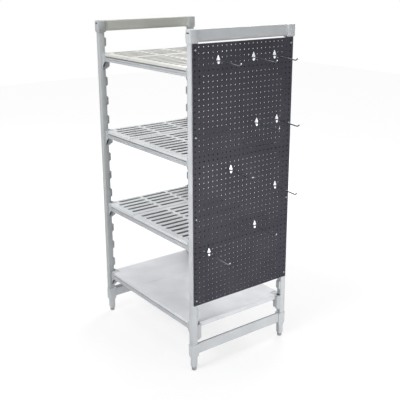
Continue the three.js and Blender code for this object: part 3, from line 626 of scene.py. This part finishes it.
def shelf_plate(node_name, end, vented):
    """A plate from its solid's box. end is -1 for the plate at the board and 1 for the far one."""
    low, high = (np.array(corner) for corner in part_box(node_name))
    top, wide = high[2], high[0]
    outer, joint = (low[1], high[1]) if end < 0 else (high[1], low[1])
    inwards = math.copysign(1, joint - outer)
    joint -= inwards * JOINT_GAP / 2 if vented else 0
    notch_x = (wide - OVERHANG) - BRACKET_X - FIT
    notch_y = outer + inwards * (BRACKET_Y + FIT - END_INSET)
    lip_x = min(notch_x, wide - RAIL_WIDTH - FIT)
    # Corner, radius and rim depth, from the outer end to the joint with the other plate
    half = [(notch_x, outer, 5 * MM, END_DEPTH), (notch_x, notch_y, 3 * MM, RIM_DEPTH),
            (wide, notch_y, 4 * MM, RIM_DEPTH), (wide, joint, 3 * MM, RIM_DEPTH),
            (lip_x + LIP_STEP, joint, 0, RIM_DEPTH), (lip_x, joint, 0, END_DEPTH)]
    ring = half + [(-x, y, radius, depth) for x, y, radius, depth in reversed(half)]
    ring = ring if inwards > 0 else ring[::-1]
    corners, radii = [(x, y) for x, y, _, _ in ring], [radius for _, _, radius, _ in ring]
    depth = np.concatenate([[deep] * (1 if radius == 0 else CORNER_STEPS + 1) for _, _, radius, deep in ring])

    def outline(inset):
        return rounded_outline(corners, radii, inset)

    rounding = EDGE_ROUND * (1 - np.sin(QUARTER))
    fall = EDGE_ROUND * (1 - np.cos(QUARTER))
    rim_loops = [outline(inset) for inset in rounding]
    rim_loops += [outline(0), outline(RIM_WALL), outline(RIM_WALL)]
    rim_heights = [top - drop for drop in fall] + [top - depth, top - depth, top - PLATE]
    points, faces = carried(rim_loops, rim_heights)
    shells, finishes = [(points, faces[:, ::-1])], [np.zeros(len(faces), int)]
    spans = []
    if vented:
        count = int((abs(joint - outer) - FIRST_SLOT) / SLOT_PITCH) + 1
        for row in range(count):
            y = outer + inwards * (FIRST_SLOT + row * SLOT_PITCH)
            far = notch_x - SLOT_RIB if row == 0 else wide - SLOT_SIDE_BORDER
            middle = MIDDLE_SLOT / 2
            spans += [(-far, -middle - SLOT_RIB, y), (-middle, middle, y), (middle + SLOT_RIB, far, y)]

    def slots(grow):
        return [stadium(x0, x1, y, SLOT_WIDTH / 2, grow) for x0, x1, y in spans]

    profile = list(rounding) + [0, SLOT_WALL, SLOT_WALL]
    heights = [top - drop for drop in fall] + [top - SLOT_DEPTH, top - SLOT_DEPTH, top - PLATE]
    for loops in zip(*(slots(grow) for grow in profile)):
        shells.append(carried(loops, heights))
        # The quads just below the rounding are the wall inside the slot, with a darker finish of its own as
        # painted shade
        painted_shade_rows = np.arange(len(profile) - 1) == len(rounding) - 1
        finishes.append(np.repeat(painted_shade_rows, len(loops[0])).astype(int))
    upper, lower = (EDGE_ROUND, EDGE_ROUND, top, 1), (RIM_WALL, SLOT_WALL, top - PLATE, -1)
    for inset, grow, height, turned in (upper, lower):
        loops = [outline(inset), *slots(grow)]
        flat = np.concatenate(loops)
        shells.append((np.column_stack([flat, np.full(len(flat), height)]), filled(loops)[:, ::turned]))
    near, far = sorted((notch_y + inwards * RIM_WALL / 2, joint - inwards * RIM_WALL / 2))
    for side in (-1, 1):
        rail_x = sorted((side * (wide - RIM_WALL / 2), side * (wide - RAIL_WIDTH + FIT)))
        shells.append(box_shell((rail_x[0], near, top - RIM_DEPTH + FIT), (rail_x[1], far, top - PLATE / 2)))
        rib_x, rib = side * (MIDDLE_SLOT + SLOT_RIB) / 2, STIFFENER_WIDTH / 2
        ends = sorted((outer + inwards * RIM_WALL / 2, joint - inwards * RIM_WALL / 2))
        shells.append(box_shell((rib_x - rib, ends[0], top - STIFFENER_DEPTH),
                                (rib_x + rib, ends[1], top - PLATE / 2)))
    piece = piece_from(node_name + "_moulding", shells)
    vented_finish = upper_shelf_polymer if node_name.startswith("deck_4_") else shelf_polymer
    dress(piece, vented_finish if vented else solid_shelf_polymer,
          frame["nodes"][node_name]["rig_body"], [node_name])
    piece.data.materials.append(slot_painted_shade)
    finishes.append(np.zeros(len(piece.data.polygons) - sum(map(len, finishes)), int))
    piece.data.polygons.foreach_set("material_index", np.concatenate(finishes))
    return piece


for level in (1, 2, 3, 4):
    for end_name, end in (("front", -1), ("back", 1)):
        plate = shelf_plate(f"deck_{level}_{end_name}", end, vented=level > 1)
        print(plate.name, len(plate.data.polygons), "faces")

# %% [markdown]
# ## The pegboard
# The board has a round hole at every step of a 25.4 mm grid. The grid's cells are worked out as arrays:
# twelve points of each hole's circle are joined to twelve points of its cell's square border, in front and
# behind, with a small chamfer at the hole's front edge and a wider one behind, which lets light through at a
# slant. The outer cells reach to the board's edges, where a narrow bevel turns to the sides.

# %% Pegboard
HOLE_PITCH, HOLE_RADIUS, HOLE_CHAMFER, HOLE_FLARE = 25.4 * MM, 3.45 * MM, 0.4 * MM, 1.15 * MM
HOLE_COLUMNS, HOLE_ROWS, HOLE_POINTS = 23, 48, 12
SIDE_MARGIN, TOP_MARGIN, BOARD_BEVEL = 7.9 * MM, 13.6 * MM, 0.6 * MM

low, high = (np.array(corner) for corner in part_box("pegboard"))
hole_x = low[0] + SIDE_MARGIN + HOLE_PITCH * np.arange(HOLE_COLUMNS)
hole_z = high[2] - TOP_MARGIN - HOLE_PITCH * np.arange(HOLE_ROWS)[::-1]


def borders(centres, start, finish):
    """Places halfway between neighbouring centres, with the board's own edges at the two ends."""
    return np.concatenate([[start], (centres[1:] + centres[:-1]) / 2, [finish]])


def cell_loops(radius, edge_inset):
    """For every cell the points of its hole's circle and of its border, both counted anticlockwise:
    the circle starts at 45 degrees, and the border has its corners and the thirds of its sides."""
    x_lines = borders(hole_x, low[0] + edge_inset, high[0] - edge_inset)
    z_lines = borders(hole_z, low[2] + edge_inset, high[2] - edge_inset)
    angle = math.radians(45) + np.arange(HOLE_POINTS) * math.tau / HOLE_POINTS
    centre = np.stack(np.meshgrid(hole_x, hole_z), axis=-1).reshape(-1, 1, 2)
    circle = centre + radius * np.stack([np.cos(angle), np.sin(angle)], axis=1)
    third = np.array([[1, 1], [2 / 3, 1], [1 / 3, 1], [0, 1], [0, 2 / 3], [0, 1 / 3],
                      [0, 0], [1 / 3, 0], [2 / 3, 0], [1, 0], [1, 1 / 3], [1, 2 / 3]])
    x0, z0 = (grid.reshape(-1, 1) for grid in np.meshgrid(x_lines[:-1], z_lines[:-1]))
    x1, z1 = (grid.reshape(-1, 1) for grid in np.meshgrid(x_lines[1:], z_lines[1:]))
    border = np.stack([x0 + (x1 - x0) * third[:, 0], z0 + (z1 - z0) * third[:, 1]], axis=-1)
    return circle, border


def standing(flat, y):
    """Points of the XZ plane, put at one depth."""
    return np.stack([flat[..., 0], np.full(flat.shape[:-1], y), flat[..., 1]], axis=-1)


front, back = low[1], high[1]
wide_circle, border = cell_loops(HOLE_RADIUS + HOLE_CHAMFER, BOARD_BEVEL)
circle, _ = cell_loops(HOLE_RADIUS, BOARD_BEVEL)
flare, _ = cell_loops(HOLE_RADIUS + HOLE_FLARE, BOARD_BEVEL)
rings = np.stack([standing(border, front), standing(wide_circle, front),
                  standing(circle, front + HOLE_CHAMFER), standing(circle, back - HOLE_FLARE),
                  standing(flare, back), standing(border, back)], axis=1)
ring_count = rings.shape[1]
starts = np.arange(HOLE_COLUMNS * HOLE_ROWS) * ring_count * HOLE_POINTS
cell_faces = (starts[:, None, None] + grid_faces(ring_count, HOLE_POINTS)).reshape(-1, 4)
rim = [(BOARD_BEVEL, front), (0, front + BOARD_BEVEL), (0, back - BOARD_BEVEL), (BOARD_BEVEL, back)]
rim_points = np.concatenate([standing(np.array([
    (low[0] + inset, low[2] + inset), (high[0] - inset, low[2] + inset),
    (high[0] - inset, high[2] - inset), (low[0] + inset, high[2] - inset)]), y) for inset, y in rim])
board = piece_from("pegboard_sheet", [(rings.reshape(-1, 3), cell_faces.tolist()),
                                      (rim_points, grid_faces(len(rim), 4).tolist())])
joined = bmesh.new()
joined.from_mesh(board.data)
bmesh.ops.remove_doubles(joined, verts=joined.verts, dist=JOIN_DISTANCE)
joined.to_mesh(board.data)
joined.free()
dress(board, board_polymer, "frame", ["pegboard"])
print("board with", HOLE_COLUMNS * HOLE_ROWS, "holes and", len(board.data.polygons), "faces")

# %% [markdown]
# ## Turned and swept steel
# A screw is a profile turned about its axis: a domed pan head with a socket, and a shank. A hook is bent
# wire, so a circle is carried along its path, and its ends are rounded by rings that shrink as a quarter
# circle does.

# %% Screws


def turned_shell(profile, x, y, z, sides=20):
    """A profile of (radius, depth) turned about a line along Y: (x + r cos t, y + depth, z + r sin t)."""
    t = np.arange(sides) * math.tau / sides
    radius, depth = np.array(profile).T
    return shell(np.stack([
        x + radius[:, None] * np.cos(t), np.broadcast_to((y + depth)[:, None], (len(radius), sides)),
        z + radius[:, None] * np.sin(t)], axis=-1))


HEAD_RADIUS, HEAD_HEIGHT, SHANK_RADIUS = 4.6 * MM, 3 * MM, 2.3 * MM
SOCKET = [(0.3 * MM, 1.6 * MM), (1.5 * MM, 1.5 * MM), (1.7 * MM, 0.45 * MM)]  # radius and depth
# The dome's angles, its height as a share of the head's, and the factor that puts its first ring at depth 0
DOME = np.linspace(math.radians(28), math.pi / 2, 6)
DOME_SHARE, DOME_START = 0.85, 1.13
screw_names = sorted(name for name in frame["nodes"] if name.startswith("screw_"))
screws = []
for name in screw_names:
    low, high = (np.array(corner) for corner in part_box(name))
    profile = SOCKET + [(HEAD_RADIUS * math.sin(a), HEAD_HEIGHT * DOME_SHARE * (1 - math.cos(a) * DOME_START))
                        for a in DOME[1:]]
    profile += [(HEAD_RADIUS, HEAD_HEIGHT), (SHANK_RADIUS, HEAD_HEIGHT), (SHANK_RADIUS, high[1] - low[1])]
    profile = [(radius, max(depth, 0)) for radius, depth in profile]
    screws.append(turned_shell(profile, (low[0] + high[0]) / 2, low[1], (low[2] + high[2]) / 2))
# The screws take the darker plating, which is painted shade for their dark reflections
dress(piece_from("board_screws", screws), zinc_painted_dark, "frame", screw_names)
print(len(screws), "screws")

# %% [markdown]
# ## Peg hooks
# Each hook has a pressed back plate, pointed at the top and with shoulders, and a tongue with a raised boss
# below. The rod leaves the tongue, falls a little and turns up at its tip. Two bent pegs hold it in the
# board's holes. The plate and the boss are outlines with rounded edges, and the rod and pegs are swept wire.

# %% Wire and plate shapes
WIRE_SIDES = 12
TIP_ANGLES = np.array([20, 40, 60, 80]) * math.pi / 180


def bent_path(corners, radius_mm, steps=6):
    """A path through corners in the YZ plane, with each bend replaced by a quadratic curve between points
    at radius_mm on either side: (1 - t)^2 a + 2 t (1 - t) corner + t^2 b."""
    corners = np.array(corners, float) * MM
    t = np.linspace(0, 1, steps + 1)[:, None]
    points = [corners[:1]]
    for before, at, after in zip(corners[:-2], corners[1:-1], corners[2:]):
        a = at + (before - at) / np.linalg.norm(before - at) * radius_mm * MM
        b = at + (after - at) / np.linalg.norm(after - at) * radius_mm * MM
        points.append((1 - t) ** 2 * a + 2 * t * (1 - t) * at + t ** 2 * b)
    return np.concatenate([*points, corners[-1:]])


def swept_wire(path, radius):
    """A circle carried along a path in the YZ plane, with an end that shrinks as radius cos a while it moves
    on by radius sin a: point + r (x cos t + side sin t), where side is at right angles to the path."""
    along = np.gradient(path, axis=0)
    along /= np.linalg.norm(along, axis=1)[:, None]
    width = np.concatenate([np.full(len(path), radius), radius * np.cos(TIP_ANGLES)])
    path = np.concatenate([path, path[-1] + radius * np.sin(TIP_ANGLES)[:, None] * along[-1]])
    along = np.concatenate([along, np.repeat(along[-1:], len(TIP_ANGLES), axis=0)])
    t = np.arange(WIRE_SIDES) * math.tau / WIRE_SIDES
    side = np.stack([-along[:, 1], along[:, 0]], axis=1)
    x = width[:, None] * np.cos(t)
    yz = path[:, None, :] + (width[:, None] * np.sin(t))[..., None] * side[:, None, :]
    return shell(np.concatenate([x[..., None], yz], axis=-1))


def pressed_plate(corners_mm, radii_mm, back_mm, front_mm, edge_mm):
    """A plate in the XZ plane: its outline at the back, up the sides, over a quarter circle to the front."""
    corners, radii = np.array(corners_mm) * MM, np.array(radii_mm) * MM
    rows = [(0, back_mm)]
    rows += [(edge_mm * (1 - math.cos(a)), front_mm + edge_mm * (1 - math.sin(a))) for a in QUARTER]
    loops = [rounded_outline(corners, radii, inset * MM) for inset, _ in rows]
    return shell([standing(loop, y * MM) for loop, (_, y) in zip(loops, rows)])


print("hook shapes ready")

# %% Hooks
# Outlines in millimetres from the upper hole, right edge only, and the radii of their corners
PLATE_EDGE = [(1.6, 11), (9.6, -8), (9.6, -11.4), (3.2, -12.6), (3.2, -17)]
PLATE_RADII = [1.4, 2.0, 1.2, 0.6, 0.2]
BOSS_EDGE = [(6.4, -16.2), (7, -22), (3.3, -28)]
BOSS_RADII = [2.2, 2.6, 3.0]
PLATE_BACK, PLATE_FRONT, PLATE_ROUND, BOSS_FRONT, BOSS_ROUND = -0.3, -2.3, 0.7, -5.8, 2.2
AXIS_ABOVE_HOLE, PEG_ARC, PEG_RADIUS, ROD_RADIUS = 12.2, 13.0, 2.35 * MM, 3.0 * MM
ROD_CORNERS, ROD_BEND = [(-1.3, -14), (-12, -14), (-145, -23), (-157.4, -13.1)], 8


def mirrored(edge, radii):
    """The right edge from top to bottom, and its mirror image back up, as a loop counted anticlockwise."""
    return ([(-x, z) for x, z in edge] + [(x, z) for x, z in reversed(edge)], radii + radii[::-1])


def peg_path(arc, start, finish, steps):
    """An arc about the tilting axis: (arc sin a, axis - arc cos a), in millimetres from the upper hole."""
    a = np.radians(np.linspace(start, finish, steps))
    return np.stack([arc * np.sin(a), AXIS_ABOVE_HOLE - arc * np.cos(a)], axis=1) * MM


lower_arc = AXIS_ABOVE_HOLE + HOLE_PITCH / MM
hook_shells = [
    pressed_plate(*mirrored(PLATE_EDGE, PLATE_RADII), PLATE_BACK, PLATE_FRONT, PLATE_ROUND),
    pressed_plate(*mirrored(BOSS_EDGE, BOSS_RADII), PLATE_BACK, BOSS_FRONT, BOSS_ROUND),
    swept_wire(bent_path(ROD_CORNERS, ROD_BEND), ROD_RADIUS),
    swept_wire(peg_path(PEG_ARC, -5, 80, 14), PEG_RADIUS),
    swept_wire(peg_path(lower_arc, -2, 9, 4), PEG_RADIUS)]
# The rod's last rings and its two flat ends get the bright plate finish as a painted glint at the tip; the
# rest of the wire has the darker finish, which is painted shade for its dark reflections
glint_tip_faces = len(TIP_ANGLES) * WIRE_SIDES + 2
pressed_faces = sum(len(faces) for _, faces in hook_shells[:2])
rod_faces = len(hook_shells[2][1])
peg_faces = sum(len(faces) for _, faces in hook_shells[3:])
finish_of_face = np.repeat([0, 1, 0, 1], [pressed_faces, rod_faces - glint_tip_faces, glint_tip_faces, peg_faces])
tilts = {joint["child"]: np.array(joint["pos_m"]) for joint in frame["record"]["behaviour"]["joints"]
         if joint["type"] == "hinge"}
for body, axis in sorted(tilts.items()):
    hole = axis - np.array([0, 0, AXIS_ABOVE_HOLE * MM])
    hook = piece_from(body + "_steel", [(points + hole, faces) for points, faces in hook_shells])
    dress(hook, zinc_plate, body, [body])
    hook.data.materials.append(zinc_painted_dark)
    hook.data.polygons.foreach_set("material_index", finish_of_face)
    print(hook.name, "at", np.round(hole, 3))

# %% [markdown]
# ## Floor, light and background
# The object stands on a plain pale floor in a white studio. Two lamps on the left, one high and one near,
# light the outer faces and the shelves, and their light fades towards the far end. A low one in front reaches
# under the shelves and lights the lower part of the front most. Two large ones reach the shelves from the far
# side and from above, and the world fills the rest a little. The white background is what the camera, and
# the metal's reflections, see of it.

# %% Floor and world
FLOOR_REACH, FLOOR_DROP, WORLD_FILL = 9, 0.0005, 0.05


def seen_directly(tree):
    """1 for rays from the camera and for rays that mirror or pass through a surface, 0 for the rest."""
    ray = node(tree, "ShaderNodeLightPath")
    first = node(tree, "ShaderNodeMath", {0: ray.outputs["Is Camera Ray"], 1: ray.outputs["Is Glossy Ray"]},
                 operation="MAXIMUM")
    return node(tree, "ShaderNodeMath", {0: first.outputs[0], 1: ray.outputs["Is Transmission Ray"]},
                operation="MAXIMUM").outputs[0]


floor_finish, tree, output = empty_material("white paper floor")
diffuse = node(tree, "ShaderNodeBsdfDiffuse", {"Color": linear("#E4E4E4")})
dim = node(tree, "ShaderNodeBsdfDiffuse", {"Color": linear("#989898")})
# The glow grows from the object outwards, so that the floor's far part is as white as the background
place = node(tree, "ShaderNodeTexCoord").outputs["Object"]
distance = node(tree, "ShaderNodeVectorMath", {0: place}, operation="LENGTH")
strength = node(tree, "ShaderNodeMapRange", {
    "Value": distance.outputs["Value"], "From Min": 1.0, "From Max": 3.0, "To Min": 0.72, "To Max": 0.95})
glow = node(tree, "ShaderNodeEmission", {"Color": (1, 1, 1, 1), "Strength": strength.outputs[0]})
both = node(tree, "ShaderNodeAddShader", {0: dim.outputs[0], 1: glow.outputs[0]})
mixed = node(tree, "ShaderNodeMixShader", {0: seen_directly(tree), 1: diffuse.outputs[0], 2: both.outputs[0]})
tree.links.new(mixed.outputs[0], output.inputs["Surface"])
floor_mesh = bpy.data.meshes.new("floor")
floor_mesh.from_pydata([(x * FLOOR_REACH, y * FLOOR_REACH, -FLOOR_DROP)
                        for x, y in ((-1, -1), (1, -1), (1, 1), (-1, 1))], [], [(0, 1, 2, 3)])
floor_mesh.materials.append(floor_finish)
floor = bpy.data.objects.new("floor", floor_mesh)
bpy.context.scene.collection.objects.link(floor)

world = bpy.data.worlds.new("white studio")
bpy.context.scene.world = world
world.use_nodes = True
tree = world.node_tree
tree.nodes.clear()
fill = node(tree, "ShaderNodeBackground", {"Color": (1, 1, 1, 1), "Strength": WORLD_FILL})
white = node(tree, "ShaderNodeBackground", {"Color": (1, 1, 1, 1), "Strength": 1.0})
mixed = node(tree, "ShaderNodeMixShader", {0: seen_directly(tree), 1: fill.outputs[0], 2: white.outputs[0]})
tree.links.new(mixed.outputs[0], node(tree, "ShaderNodeOutputWorld").inputs["Surface"])
print("floor and world ready")

# %% Lamps


def soft_lamp(name, place, target, size, level):
    """A square lamp. level is how bright it makes a white surface that faces it at the target: a lamp of P
    watts gives P / (pi d)^2 there, so P is level times (pi d)^2."""
    lamp = bpy.data.objects.new(name, bpy.data.lights.new(name, "AREA"))
    lamp.data.size = size
    lamp.data.energy = level * (math.pi * math.dist(place, target)) ** 2
    heading = Vector(place) - Vector(target)
    lamp.matrix_world = Matrix.Translation(place) @ heading.to_track_quat("Z", "Y").to_matrix().to_4x4()
    bpy.context.scene.collection.objects.link(lamp)
    print(name, round(lamp.data.energy), "W")


soft_lamp("high left lamp", (-3.2, -0.4, 3.4), (-0.2, 0.0, 0.9), 1.6, 0.51)
soft_lamp("near left lamp", (-1.7, -0.8, 1.0), (-0.3, -0.3, 0.9), 1.2, 0.44)
soft_lamp("front lamp", (0.5, -2.1, 0.5), (-0.1, -0.3, 0.6), 1.1, 0.62)
soft_lamp("far lamp", (2.8, 2.0, 2.4), (0.0, 0.1, 0.6), 2.2, 0.68)
soft_lamp("top lamp", (-0.2, 0.1, 4.6), (0.0, 0.1, 1.0), 2.2, 0.42)
